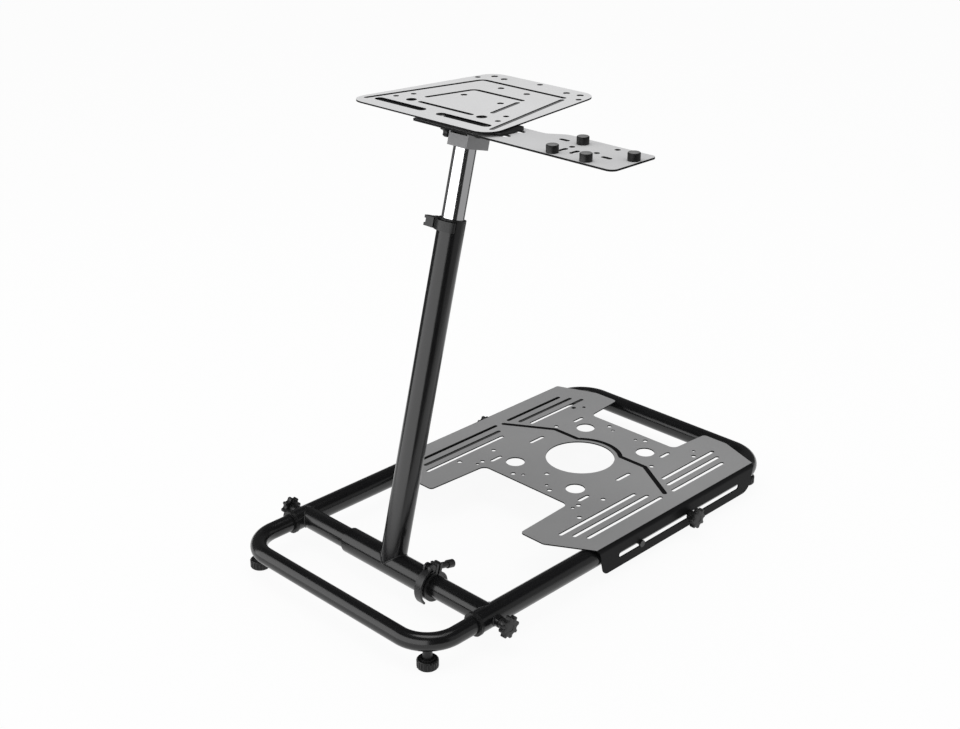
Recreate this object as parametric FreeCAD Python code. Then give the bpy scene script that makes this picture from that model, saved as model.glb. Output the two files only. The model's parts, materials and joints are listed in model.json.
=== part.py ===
# Folding wheel stand for racing games: a tubular floor frame on levelling feet, a slotted
# pedal plate, a leaning telescopic column with quick-release clamps, and a tilting wheel
# plate with a shifter plate at its right-hand side.
# Millimetres. +X is the driver's right, +Y points away from the driver, +Z is up.
import FreeCAD, Part
import math
import os

V = FreeCAD.Vector

# Floor frame
half_track = 232.5        # stand centreline to the side tube axis
axle_z = 46.5             # tube axes above the floor
side_r = 19.0
side_wall = 2.0
side_front_y = -31.0      # front end of the side tubes, from the crossbar
rear_y = 756.5            # rear tube axis
corner_r = 62.0           # centreline radius of the bent corners
front_y = -139.0          # front tube axis
leg_r = 15.25
leg_wall = 2.0
leg_end_y = 150.0         # rear end of the sliding legs, inside the side tubes
crossbar_r = 19.0
crossbar_wall = 2.5
slide_clear = 0.3         # radial play of every sliding or turning fit

# Collars in the mouths of the side tubes
collar_lip = 6.0
collar_plug = 22.0
collar_stand = 1.5
plug_clear = 0.1

# Levelling feet
foot_r = 18.0
foot_h = 16.0
foot_bevel = 2.0
foot_neck_r = 8.0
foot_ring_r = 12.5
foot_ring_h = 2.5
foot_flutes = 20
foot_flute_r = 1.6

# Pivot sleeve and column
sleeve_half = 108.0
sleeve_r = 23.0
sleeve_slit_from = 66.0
slit_w = 3.0
lean_deg = 14.54
outer_top = 601.5         # top of the outer tube, along the column from the crossbar axis
column_r = 23.0
column_wall = 2.0
inner_r = 19.0
inner_wall = 1.5
inner_end = 430.0
bush_depth = 60.0
bush_lip = 2.5
column_slit = 45.0

# Quick-release clamps
clamp_h = 18.0
clamp_wall = 4.0
clamp_gap = 4.0
ear_t = 5.0
ear_reach = 45.0
ear_root = 20.0
bolt_out = 37.0           # ring axis to the clamp bolt of the height clamp
fold_bolt_out = 33.0
bolt_r = 3.0
pin_r = 3.6                # cross pin of the T-shaped bolt
pin_back = 15.5           # ring axis plane to the lever's cross pin
head_r = 8.0
fork_gap = 8.0
lever_gap = 5.0
lever_t = 4.0
lever_sweep = 53.0        # how far the lever wraps past the front of the ring
fold_clamp_x = 88.0
height_clamp_drop = 9.5   # clamp centre below the top of the outer tube
fold_nut_r = 8.5
fold_nut_seat_r = 6.2
fold_nut_len = 20.0
fold_nut_neck = 13.0
height_nut_r = 6.5
height_nut_len = 7.0

# Column head
head_bottom = 721.0
head_half_w = 22.0
head_front = 20.0
head_back = 31.0
head_wall = 3.0
head_front_h = 20.0
hinge_s = 748.0
hinge_boss_r = 16.0
hinge_bolt_r = 4.0

# Wheel plate and its hinge bracket
plate_t = 3.0
wheel_top = 769.8         # wheel plate top above the crossbar axis
wheel_front_y = 72.0
wheel_rear_y = 371.0
wheel_front_half = 159.5
wheel_rear_half = 118.3
wheel_corner_r = 29.0
groove_w = 4.2
ear_plate_t = 3.0
ear_plate_gap = 5.0
hinge_ear_r = 14.0
bracket_front = 21.0
bracket_back = 40.0
bracket_half_w = 34.0

# Shifter plate under the wheel plate
shifter_gap = 5.0
shifter_left = -14.0
shifter_right = 391.0
shifter_front_y = 78.0
tongue_back_y = 158.0
shifter_back_y = 177.0
step_x = 194.0
step_run = 29.0
shifter_corner_r = 12.0
shifter_slot_w = 12.0
shifter_slot_x = (-4.0, 163.0)
shifter_slot_y = (106.6, 138.4)
stud_x = (24.0, 118.0)
stud_mid_x = 79.0
stud_r = 4.0
spacer_r = 8.5
stud_nut_h = 6.0
post_r = 9.4
post_h = 13.0
post_places = ((276.0, 152.0), (273.5, 88.5), (337.5, 88.5), (379.0, 137.0))

# Pedal plate
flange_clear = 0.5        # between the flanges and the side tubes
pedal_gap = 0.3
flange_depth = 53.0
fold_r = 4.5
notch_front_y = 335.0
notch_rear_y = 647.0
notch_half = 106.0
tab_inner = 113.0
tab_outer = 167.0
pedal_front_y = 201.0
pedal_rear_y = 735.0
cheek_front_y = 250.5
cheek_rear_y = 686.0
pedal_corner_r = 13.0
strip_w = 8.0
flange_slot_z = -8.0      # flange slot centre, from the tube axis
flange_slot_w = 11.0
flange_slot_y = (303.0, 655.0)
big_hole_r = 66.4
big_hole_y = 490.2
medium_hole_r = 18.2
arrow_w = 4.0
arrow_arc_r = 78.0

# Star knobs
knob_r = 19.5
knob_t = 14.0
knob_lobes = 8
knob_scallop_r = 5.2
knob_hub_r = 9.0
knob_hub = 8.0
knob_bevel = 1.5
knob_stud_r = 4.0
boss_r = 10.0
boss_h = 8.0
pedal_knob_y = 503.0
guide_pin_y = 362.0
guide_pin_head_r = 6.5
tilt_knob_r = 20.0

flange_inner = half_track + side_r + flange_clear
pedal_half_w = flange_inner + plate_t
plate_z = axle_z + side_r + pedal_gap
wheel_z = axle_z + wheel_top
shifter_z = wheel_z - plate_t - shifter_gap
tilt_z = axle_z
knob_end = half_track + side_r + boss_h + slide_clear + knob_hub + knob_t

# The model's origin is the middle of its footprint, at floor level.
origin = V((shifter_right - knob_end) / 2, (front_y - leg_r + rear_y + side_r) / 2, 0)

X = V(1, 0, 0)
Y = V(0, 1, 0)
Z = V(0, 0, 1)


def tube(start, direction, length, r_out, wall):
    outside = Part.makeCylinder(r_out, length, start, direction)
    return outside.cut(Part.makeCylinder(r_out - wall, length, start, direction))


def ring(r_out, r_in, z_low, z_high, centre=(0, 0)):
    base = V(centre[0], centre[1], z_low)
    outside = Part.makeCylinder(r_out, z_high - z_low, base)
    return outside.cut(Part.makeCylinder(r_in, z_high - z_low, base))


def corner(side, start_y, turn, r_out, wall):
    """Quarter bend from a side tube's end at start_y, towards +Y (turn 1) or -Y (turn -1)."""
    centre = V(side * half_track, start_y, axle_z)
    profile = Part.Face(Part.Wire(Part.makeCircle(r_out, centre, Y)))
    if wall:
        bore = Part.Face(Part.Wire(Part.makeCircle(r_out - wall, centre, Y)))
        profile = profile.cut(bore)
    pivot = V(side * (half_track - corner_r), start_y, axle_z)
    return profile.revolve(pivot, Z * (side * turn), 90)


def rounded(points, radius):
    """Closed wire through the points in the XY plane, each corner rounded by an arc.
    A point may hold its own radius as a third value."""
    edges = []
    last_end = None
    first_start = None
    count = len(points)
    for i, point in enumerate(points):
        here = V(point[0], point[1], 0)
        before = V(points[i - 1][0], points[i - 1][1], 0)
        after = V(points[(i + 1) % count][0], points[(i + 1) % count][1], 0)
        r = point[2] if len(point) > 2 else radius
        into = (before - here).normalize()
        out = (after - here).normalize()
        half = into.getAngle(out) / 2
        start = here + into * (r / math.tan(half))
        end = here + out * (r / math.tan(half))
        middle = (into + out).normalize()
        peak = here + middle * (r / math.sin(half) - r)
        if last_end is None:
            first_start = start
        else:
            edges.append(Part.LineSegment(last_end, start).toShape())
        edges.append(Part.Arc(start, peak, end).toShape())
        last_end = end
    edges.append(Part.LineSegment(last_end, first_start).toShape())
    return Part.Wire(edges)


def sheet(outline, z_low, thickness):
    face = Part.Face(outline)
    face.translate(V(0, 0, z_low))
    return face.extrude(V(0, 0, thickness))


def slot(a, b, width, z_low, height):
    """Upright cutter: a stadium of the given width from centre a to centre b."""
    ax, ay = a
    bx, by = b
    run = V(bx - ax, by - ay, 0)
    length = run.Length
    box = Part.makeBox(length, width, height, V(0, -width / 2, z_low))
    ends = [Part.makeCylinder(width / 2, height, V(x, 0, z_low)) for x in (0, length)]
    cutter = box.multiFuse(ends)
    cutter.rotate(V(0, 0, 0), Z, math.degrees(math.atan2(run.y, run.x)))
    cutter.translate(V(ax, ay, 0))
    return cutter


def groove(points, width, z_low, height):
    """Slots end to end along a line of points."""
    runs = [slot(points[i], points[i + 1], width, z_low, height) for i in range(len(points) - 1)]
    return runs[0] if len(runs) == 1 else runs[0].multiFuse(runs[1:])


def mirrored(points):
    """The same places on both sides of the centreline."""
    return [(side * x, y) for x, y in points for side in (-1, 1)]


def lean(shape):
    """From upright, about the crossbar axis, to the column's place on the stand."""
    turned = shape.copy()
    turned.rotate(V(0, 0, 0), X, -lean_deg)
    turned.translate(V(0, 0, axle_z))
    return turned


def side_tube(side):
    length = rear_y - corner_r - side_front_y
    body = tube(V(side * half_track, side_front_y, axle_z), Y, length, side_r, side_wall)
    stud_hole = Part.makeCylinder(knob_stud_r + slide_clear, side_r + boss_h,
                                  V(side * half_track, 0, axle_z), X * side)
    body = body.cut(stud_hole)
    for y in (pedal_knob_y, guide_pin_y):
        hole = Part.makeCylinder(knob_stud_r + plug_clear, side_r + boss_h,
                                 V(side * half_track, y, axle_z + flange_slot_z), X * side)
        body = body.cut(hole)
    return body


def end_collar(side):
    """Plastic bearing pushed into the mouth of a side tube, with a lip around it."""
    at = V(side * half_track, side_front_y - collar_lip, axle_z)
    lip = Part.makeCylinder(side_r + collar_stand, collar_lip, at, Y)
    plug = Part.makeCylinder(side_r - side_wall - plug_clear, collar_lip + collar_plug, at, Y)
    bore = Part.makeCylinder(leg_r + slide_clear, collar_lip + collar_plug, at, Y)
    collar = lip.fuse(plug).cut(bore)
    return collar


def crossbar():
    body = tube(V(-half_track, 0, axle_z), X, 2 * half_track, crossbar_r, crossbar_wall)
    for side in (-1, 1):
        body = body.cut(Part.makeCylinder(side_r, 4 * side_r, V(side * half_track, -2 * side_r, axle_z), Y))
    return body


def foot(side, x, y, tube_shape):
    """Knurled levelling foot on a short neck, seated against the tube above it."""
    top = axle_z
    cap = Part.makeCylinder(foot_r, foot_h, V(x, y, 0))
    rims = [e for e in cap.Edges if isinstance(e.Curve, Part.Circle)]
    cap = cap.makeChamfer(foot_bevel, rims)
    step = 360.0 / foot_flutes
    for i in range(foot_flutes):
        angle = math.radians(i * step)
        place = V(x + foot_r * math.cos(angle), y + foot_r * math.sin(angle), -1)
        cap = cap.cut(Part.makeCylinder(foot_flute_r, foot_h + 2, place))
    neck = Part.makeCylinder(foot_neck_r, top - foot_h, V(x, y, foot_h))
    collar = Part.makeCylinder(foot_ring_r, foot_ring_h, V(x, y, foot_h))
    return cap.fuse(collar).fuse(neck).cut(tube_shape)


def pivot_sleeve():
    body = tube(V(-sleeve_half, 0, 0), X, 2 * sleeve_half, sleeve_r,
                sleeve_r - crossbar_r - slide_clear)
    slit = Part.makeBox(sleeve_half - sleeve_slit_from, slit_w, sleeve_r,
                        V(sleeve_slit_from, -slit_w / 2, 0))
    return lean(body.cut(slit))


def column_tube():
    outside = Part.makeCylinder(column_r, outer_top)
    bore = Part.makeCylinder(column_r - column_wall, outer_top)
    saddle = Part.makeCylinder(sleeve_r, 4 * sleeve_r, V(-2 * sleeve_r, 0, 0), X)
    slit = Part.makeBox(column_r, slit_w, column_slit, V(-column_r, -slit_w / 2, outer_top - column_slit))
    return lean(outside.cut(bore).cut(saddle).cut(slit))


def column_bushing():
    """Plastic bearing in the top of the outer tube."""
    plug = ring(column_r - column_wall - plug_clear, inner_r + slide_clear,
                outer_top - bush_depth, outer_top)
    lip = ring(column_r, inner_r + slide_clear, outer_top, outer_top + bush_lip)
    return lean(plug.fuse(lip))


def inner_tube():
    return lean(tube(V(0, 0, inner_end), Z, head_bottom - inner_end, inner_r, inner_wall))


def clamp_ring(bolt_distance):
    """Split ring with two ears on its -X side. Its axis is Z and its middle is at 0."""
    low = -clamp_h / 2
    body = Part.makeCylinder(column_r + clamp_wall, clamp_h, V(0, 0, low))
    reach = bolt_distance + ear_reach - bolt_out
    width = clamp_gap + 2 * ear_t
    ears = Part.makeBox(reach - ear_root, width, clamp_h, V(-reach, -width / 2, low))
    body = body.fuse(ears)
    body = body.cut(Part.makeCylinder(column_r + plug_clear, clamp_h, V(0, 0, low)))
    body = body.cut(Part.makeBox(reach, clamp_gap, clamp_h, V(-reach, -clamp_gap / 2, low)))
    bolt_hole = Part.makeCylinder(bolt_r + plug_clear, width, V(-bolt_distance, -width / 2, 0), Y)
    tips = [e for e in body.Edges
            if abs(e.Vertexes[0].X + reach) < 0.01 and abs(e.Vertexes[-1].X + reach) < 0.01
            and abs(e.tangentAt(e.FirstParameter).y) > 0.99]
    body = body.makeFillet(clamp_h / 4, tips)
    return body.cut(bolt_hole)


def clamp_bolt(bolt_distance, nut):
    """T-shaped bolt: a shank through the ears, a cross pin in the lever and a nut behind."""
    ear_back = clamp_gap / 2 + ear_t
    shank_end = ear_back + sum(length for radius, length in nut)
    shank = Part.makeCylinder(bolt_r, shank_end + pin_back, V(-bolt_distance, -pin_back, 0), Y)
    pin = Part.makeCylinder(pin_r, clamp_h, V(-bolt_distance, -pin_back, -clamp_h / 2))
    body = shank.fuse(pin)
    y = ear_back
    for radius, length in nut:
        body = body.fuse(Part.makeCylinder(radius, length, V(-bolt_distance, y, 0), Y))
        y += length
    return body


def clamp_lever(bolt_distance):
    """Cam head with a fork for the bolt, and an arm that wraps around the ring."""
    low = -clamp_h / 2
    inner = column_r + clamp_wall + lever_gap
    pin = V(-bolt_distance, -pin_back, 0)
    start = math.degrees(math.atan2(pin.x, -pin.y))
    arm = Part.makeCylinder(inner + lever_t, clamp_h, V(0, 0, low), Z, lever_sweep - start)
    arm = arm.cut(Part.makeCylinder(inner, clamp_h, V(0, 0, low), Z, 360))
    arm.rotate(V(0, 0, 0), Z, start - 90)
    head = Part.makeCylinder(head_r, clamp_h, V(pin.x, pin.y, low))
    fork = Part.makeCylinder(head_r + 0.5, fork_gap, V(pin.x, pin.y, -fork_gap / 2))
    bore = Part.makeCylinder(pin_r + plug_clear, clamp_h, V(pin.x, pin.y, low))
    return arm.fuse(head).cut(fork).cut(bore)


def place_height_clamp(shape):
    moved = shape.copy()
    moved.translate(V(0, 0, outer_top - height_clamp_drop))
    return lean(moved)


def place_fold_clamp(shape):
    moved = shape.copy()
    moved.rotate(V(0, 0, 0), Y, 90)
    moved.translate(V(fold_clamp_x, 0, 0))
    return lean(moved)


def column_head():
    """Folded steel head on the inner tube: a floor, a front and two hinge cheeks."""
    width = 2 * head_half_w
    depth = head_front + head_back
    low = head_bottom
    cheek_h = hinge_s - head_bottom
    outline = rounded([(-head_front, low, 1), (head_back, low, 1), (head_back, hinge_s - 4, 6),
                       (hinge_boss_r, hinge_s + hinge_boss_r, hinge_boss_r - 1),
                       (-hinge_boss_r, hinge_s + hinge_boss_r, hinge_boss_r - 1),
                       (-head_front, hinge_s - 4, 4)], 2)
    cheek = Part.Face(outline).extrude(V(0, 0, head_wall))
    turn = FreeCAD.Rotation(Y, Z, X, "ZXY")
    cheek.Placement = FreeCAD.Placement(V(-head_half_w, 0, 0), turn)
    other = cheek.copy()
    other.translate(V(width - head_wall, 0, 0))
    floor = Part.makeBox(width, depth, head_wall, V(-head_half_w, -head_front, low))
    front = Part.makeBox(width, head_wall, head_front_h, V(-head_half_w, -head_front, low))
    body = floor.fuse(front).fuse(cheek).fuse(other)
    hole = Part.makeCylinder(hinge_bolt_r + plug_clear, width, V(-head_half_w, 0, hinge_s), X)
    return lean(body.cut(hole))


def hinge_point():
    a = math.radians(lean_deg)
    return V(0, hinge_s * math.sin(a), axle_z + hinge_s * math.cos(a))


def tilt_bracket():
    """Plate under the wheel plate with two ears that hang inside the column head."""
    hinge = hinge_point()
    top = wheel_z - plate_t
    y_low = hinge.y - bracket_front
    y_high = hinge.y + bracket_back
    base = sheet(rounded([(-bracket_half_w, y_low), (bracket_half_w, y_low),
                          (bracket_half_w, y_high), (-bracket_half_w, y_high)], 5), top - plate_t, plate_t)
    drop = hinge.z - hinge_ear_r
    outline = rounded([(y_low + 2, top - plate_t, 1), (hinge.y - hinge_ear_r, drop, hinge_ear_r - 1),
                       (hinge.y + hinge_ear_r, drop, hinge_ear_r - 1), (y_high - 2, top - plate_t, 1)], 2)
    ear = Part.Face(outline).extrude(V(0, 0, ear_plate_t))
    outer = head_half_w - head_wall - ear_plate_gap
    ear.Placement = FreeCAD.Placement(V(-outer, 0, 0), FreeCAD.Rotation(Y, Z, X, "ZXY"))
    other = ear.copy()
    other.translate(V(2 * outer - ear_plate_t, 0, 0))
    hole = Part.makeCylinder(hinge_bolt_r + slide_clear, 2 * outer, V(-outer, hinge.y, hinge.z), X)
    return base.fuse(ear).fuse(other).cut(hole)


def tilt_bolt():
    start = -head_half_w - knob_hub - knob_t - slide_clear
    shank = Part.makeCylinder(hinge_bolt_r, head_half_w - start, V(start, 0, hinge_s), X)
    head = Part.makeCylinder(2 * hinge_bolt_r, hinge_bolt_r, V(head_half_w, 0, hinge_s), X)
    washer_out = head_half_w - head_wall
    washer_in = washer_out - ear_plate_gap + slide_clear
    body = shank.fuse(head)
    for side in (-1, 1):
        spacer = Part.makeCylinder(hinge_bolt_r * 1.8, washer_out - washer_in, V(side * washer_in, 0, hinge_s), X * side)
        body = body.fuse(spacer)
    return lean(body)


def wheel_plate():
    low = wheel_z - plate_t - 1
    tall = plate_t + 2
    outline = rounded([(-wheel_front_half, wheel_front_y), (wheel_front_half, wheel_front_y),
                       (wheel_rear_half, wheel_rear_y), (-wheel_rear_half, wheel_rear_y)], wheel_corner_r)
    body = sheet(outline, wheel_z - plate_t, plate_t)
    cuts = [slot((side * 22.0, 106.6), (side * 121.5, 106.6), 13.0, low, tall) for side in (-1, 1)]
    cuts.append(groove([(-141.0, 97.2), (-93.2, 317.2), (88.0, 317.2)], groove_w, low, tall))
    cuts.append(groove([(141.0, 97.2), (95.5, 306.0)], groove_w, low, tall))
    cuts.append(groove([(-73.6, 168.3), (-54.3, 257.5), (52.0, 257.5)], groove_w, low, tall))
    cuts.append(groove([(73.6, 168.3), (57.5, 243.0)], groove_w, low, tall))
    cuts.append(groove([(-57.0, 137.8), (57.0, 137.8)], groove_w, low, tall))
    for radius, places in wheel_holes:
        for x, y in places:
            cuts.append(Part.makeCylinder(radius, tall, V(x, y, low)))
    return body.cut(Part.makeCompound(cuts))


wheel_holes = (
    (8.4, mirrored([(79.0, 138.4)])),
    (4.2, mirrored([(114.3, 137.5), (104.0, 166.6)])),
    (5.2, mirrored([(41.0, 219.5), (29.0, 294.0)])),
    (6.0, mirrored([(70.3, 346.0), (96.5, 350.5)])),
    (4.6, mirrored([(114.8, 326.0)])),
    (5.2, [(0.0, 360.3)]),
)


def shifter_plate():
    low = shifter_z - plate_t - 1
    tall = plate_t + 2
    outline = rounded([(shifter_left, shifter_front_y, 6), (shifter_right, shifter_front_y, 20),
                       (shifter_right, shifter_back_y, 8), (step_x + step_run, shifter_back_y, 30),
                       (step_x, tongue_back_y, 20), (shifter_left, tongue_back_y, 6)], 6)
    body = sheet(outline, shifter_z - plate_t, plate_t)
    cuts = [slot((shifter_slot_x[0], y), (shifter_slot_x[1], y), shifter_slot_w, low, tall) for y in shifter_slot_y]
    for x, y in ((248.0, 121.0), (271.3, 130.0), (318.3, 130.0), (328.7, 164.0)):
        cuts.append(Part.makeCylinder(4.2, tall, V(x, y, low)))
    for x, y in ((238.6, 150.3), (344.4, 121.0)):
        cuts.append(slot((x - 8, y), (x + 8, y), 7.0, low, tall))
    for x, y in ((271.5, 109.5), (292.5, 111.2)):
        cuts.append(slot((x, y - 6.5), (x, y + 6.5), 7.0, low, tall))
    return body.cut(Part.makeCompound(cuts))


def shifter_screws():
    """Round-headed screws through the wheel plate, with a spacer and a nut on each."""
    places = [(x, shifter_slot_y[0]) for x in stud_x] + [(stud_mid_x, shifter_slot_y[1])]
    screws = []
    for x, y in places:
        under = shifter_z - plate_t - slide_clear
        shank = Part.makeCylinder(stud_r, wheel_z - under, V(x, y, under))
        spacer = Part.makeCylinder(spacer_r, shifter_gap - slide_clear, V(x, y, shifter_z + slide_clear))
        nut = Part.makeCylinder(spacer_r, stud_nut_h, V(x, y, under - stud_nut_h))
        screws.append(shank.fuse(spacer).fuse(nut))
    return Part.makeCompound(screws)


def rubber_posts():
    posts = []
    for x, y in post_places:
        post = Part.makeCylinder(post_r, post_h, V(x, y, shifter_z))
        rim = [e for e in post.Edges if isinstance(e.Curve, Part.Circle) and e.Vertexes[0].Z > shifter_z + 1]
        posts.append(post.makeFillet(1.2, rim))
    return Part.makeCompound(posts)


def pedal_plate():
    """Folded sheet: a slotted deck on the side tubes and a slotted flange down each side."""
    top = plate_z + plate_t
    bottom = top - flange_depth
    span = pedal_rear_y - pedal_front_y

    def channel(half, height, radius, z_low, z_high):
        profile = rounded([(-half, z_low, 0.1), (half, z_low, 0.1), (half, z_high, radius), (-half, z_high, radius)], 1)
        solid = Part.Face(profile).extrude(V(0, 0, height))
        solid.Placement = FreeCAD.Placement(V(0, pedal_rear_y, 0), FreeCAD.Rotation(X, Z, Y * -1, "ZXY"))
        return solid

    shell = channel(pedal_half_w, span, fold_r, bottom, top)
    hollow = channel(flange_inner, span, fold_r - plate_t, bottom - 5, plate_z)
    shell = shell.cut(hollow)

    half_plan = [(tab_inner, pedal_front_y), (tab_outer, pedal_front_y), (pedal_half_w + 20, cheek_front_y + 12)]
    half_plan += [(pedal_half_w + 20, cheek_rear_y - 12), (tab_outer, pedal_rear_y), (tab_inner, pedal_rear_y)]
    half_plan += [(notch_half, notch_rear_y, pedal_corner_r)]
    other_half = [(-p[0],) + tuple(p[1:]) for p in reversed(half_plan)]
    front_notch = [(-notch_half, notch_front_y), (notch_half, notch_front_y)]
    plan = sheet(rounded(half_plan + other_half + front_notch, pedal_corner_r), bottom - 1, flange_depth + 2)

    side_view = rounded([(cheek_front_y - 60, plate_z - 1, 0.5), (cheek_front_y, plate_z - 1, 4),
                         (cheek_front_y + 25, bottom, 14), (cheek_rear_y, bottom, 10),
                         (cheek_rear_y + 9, bottom + 14, 4), (cheek_rear_y + 5, plate_z - 1, 3),
                         (cheek_rear_y + 60, plate_z - 1, 0.5), (cheek_rear_y + 60, top + 1, 0.5),
                         (cheek_front_y - 60, top + 1, 0.5)], 1)
    profile = Part.Face(side_view).extrude(V(0, 0, 2 * pedal_half_w + 2))
    profile.Placement = FreeCAD.Placement(V(-pedal_half_w - 1, 0, 0), FreeCAD.Rotation(Y, Z, X, "ZXY"))
    body = shell.common(plan).common(profile)

    cuts = pedal_cuts()
    z = axle_z + flange_slot_z
    half = flange_slot_w / 2
    for side in (-1, 1):
        start = V(side * (flange_inner - 1), flange_slot_y[0] + half, z)
        run = flange_slot_y[1] - flange_slot_y[0] - 2 * half
        x_low = min(start.x, start.x + side * (plate_t + 2))
        cuts.append(Part.makeBox(plate_t + 2, run, flange_slot_w, V(x_low, start.y, z - half)))
        for y in (start.y, start.y + run):
            cuts.append(Part.makeCylinder(half, plate_t + 2, V(x_low, y, z), X))
    return body.cut(Part.makeCompound(cuts))


def pedal_cuts():
    low = plate_z - 1
    tall = plate_t + 2
    cuts = []
    half = strip_w / 2
    for side in (-1, 1):
        for x, front, rear in pedal_strips:
            cuts.append(slot((side * x, front + half), (side * x, rear - half), strip_w, low, tall))
        cuts.append(groove([(side * 204.9, 491.5), (side * 114.6, 546.2), (side * 54.7, 546.0)], arrow_w, low, tall))
        for x, y in pedal_short_slots:
            cuts.append(slot((side * x, y - 9), (side * x, y + 9), 7.0, low, tall))
    arc = ring(arrow_arc_r + arrow_w / 2, arrow_arc_r - arrow_w / 2, low, low + tall, (0, big_hole_y))
    reach = 54.7 + arrow_w / 2
    window = Part.makeBox(2 * reach, arrow_arc_r + 5, tall, V(-reach, 546.0 - 2, low))
    cuts.append(arc.common(window))
    cuts.append(Part.makeCylinder(big_hole_r, tall, V(0, big_hole_y, low)))
    for x, y in mirrored([(76.2, 389.1), (76.2, 594.4)]):
        cuts.append(Part.makeCylinder(medium_hole_r, tall, V(x, y, low)))
    for radius, places in pedal_holes:
        for x, y in places:
            cuts.append(Part.makeCylinder(radius, tall, V(x, y, low)))
    return cuts


pedal_strips = ((168.0, 242.0, 452.0), (188.6, 255.0, 464.0), (210.0, 268.0, 477.0),
                (168.0, 531.0, 692.0), (189.0, 519.0, 679.0), (210.0, 507.0, 666.0))
pedal_short_slots = ((111.0, 372.4), (110.2, 486.9), (110.7, 612.0))
pedal_holes = (
    (4.25, mirrored([(121.8, 345.7), (121.8, 557.5)])),
    (4.25, mirrored([(152.0, 313.7), (139.4, 394.3), (154.0, 647.0)])),
    (3.2, mirrored([(121.0, 331.3), (140.8, 664.2)])),
    (4.25, mirrored([(46.2, 351.2), (45.8, 632.9)])),
    (3.2, mirrored([(29.8, 361.4), (29.0, 623.2)])),
    (4.25, [(0.0, 395.0)]),
)


def star_knob(radius, stud, bore=0.0):
    """Lobed knob along +X from its hub at 0, with a stud towards -X or a bore."""
    hub = Part.makeCylinder(knob_hub_r, knob_hub, V(0, 0, 0), X)
    head = Part.makeCylinder(radius, knob_t, V(knob_hub, 0, 0), X)
    rims = [e for e in head.Edges if isinstance(e.Curve, Part.Circle)]
    head = head.makeChamfer(knob_bevel, rims)
    step = 360.0 / knob_lobes
    for i in range(knob_lobes):
        angle = math.radians((i + 0.5) * step)
        out = radius + knob_scallop_r * 0.45
        place = V(knob_hub - 1, out * math.cos(angle), out * math.sin(angle))
        head = head.cut(Part.makeCylinder(knob_scallop_r, knob_t + 2, place, X))
    body = hub.fuse(head)
    if stud:
        body = body.fuse(Part.makeCylinder(knob_stud_r, stud, V(-stud, 0, 0), X))
    if bore:
        body = body.cut(Part.makeCylinder(bore, knob_hub + knob_t, V(0, 0, 0), X))
    return body


def on_side(shape, side, x, y, z):
    """Place a shape modelled along +X against the stand's right side, or turned for its left."""
    placed = shape.copy()
    if side < 0:
        placed.rotate(V(0, 0, 0), Z, 180)
    placed.translate(V(side * x, y, z))
    return placed


def lock_boss(side):
    body = Part.makeCylinder(boss_r, side_r + boss_h, V(side * half_track, 0, axle_z), X * side)
    body = body.cut(Part.makeCylinder(side_r, 4 * side_r, V(side * half_track, -2 * side_r, axle_z), Y))
    bore = Part.makeCylinder(knob_stud_r + plug_clear, side_r + boss_h, V(side * half_track, 0, axle_z), X * side)
    return body.cut(bore)


def lock_knob(side):
    seat = half_track + side_r + boss_h + slide_clear
    stud = seat - half_track - leg_r - slide_clear
    return on_side(star_knob(knob_r, stud), side, seat, 0, axle_z)


def pedal_knob(side):
    seat = pedal_half_w + slide_clear
    stud = seat - half_track
    return on_side(star_knob(knob_r, stud), side, seat, pedal_knob_y, axle_z + flange_slot_z)


def guide_pin(side):
    """Shouldered pin in the side tube that runs in the flange slot."""
    z = axle_z + flange_slot_z
    shank = Part.makeCylinder(knob_stud_r, pedal_half_w + slide_clear - half_track, V(side * half_track, guide_pin_y, z), X * side)
    seat = V(side * (pedal_half_w + slide_clear), guide_pin_y, z)
    return shank.fuse(Part.makeCylinder(guide_pin_head_r, knob_stud_r, seat, X * side))


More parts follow.
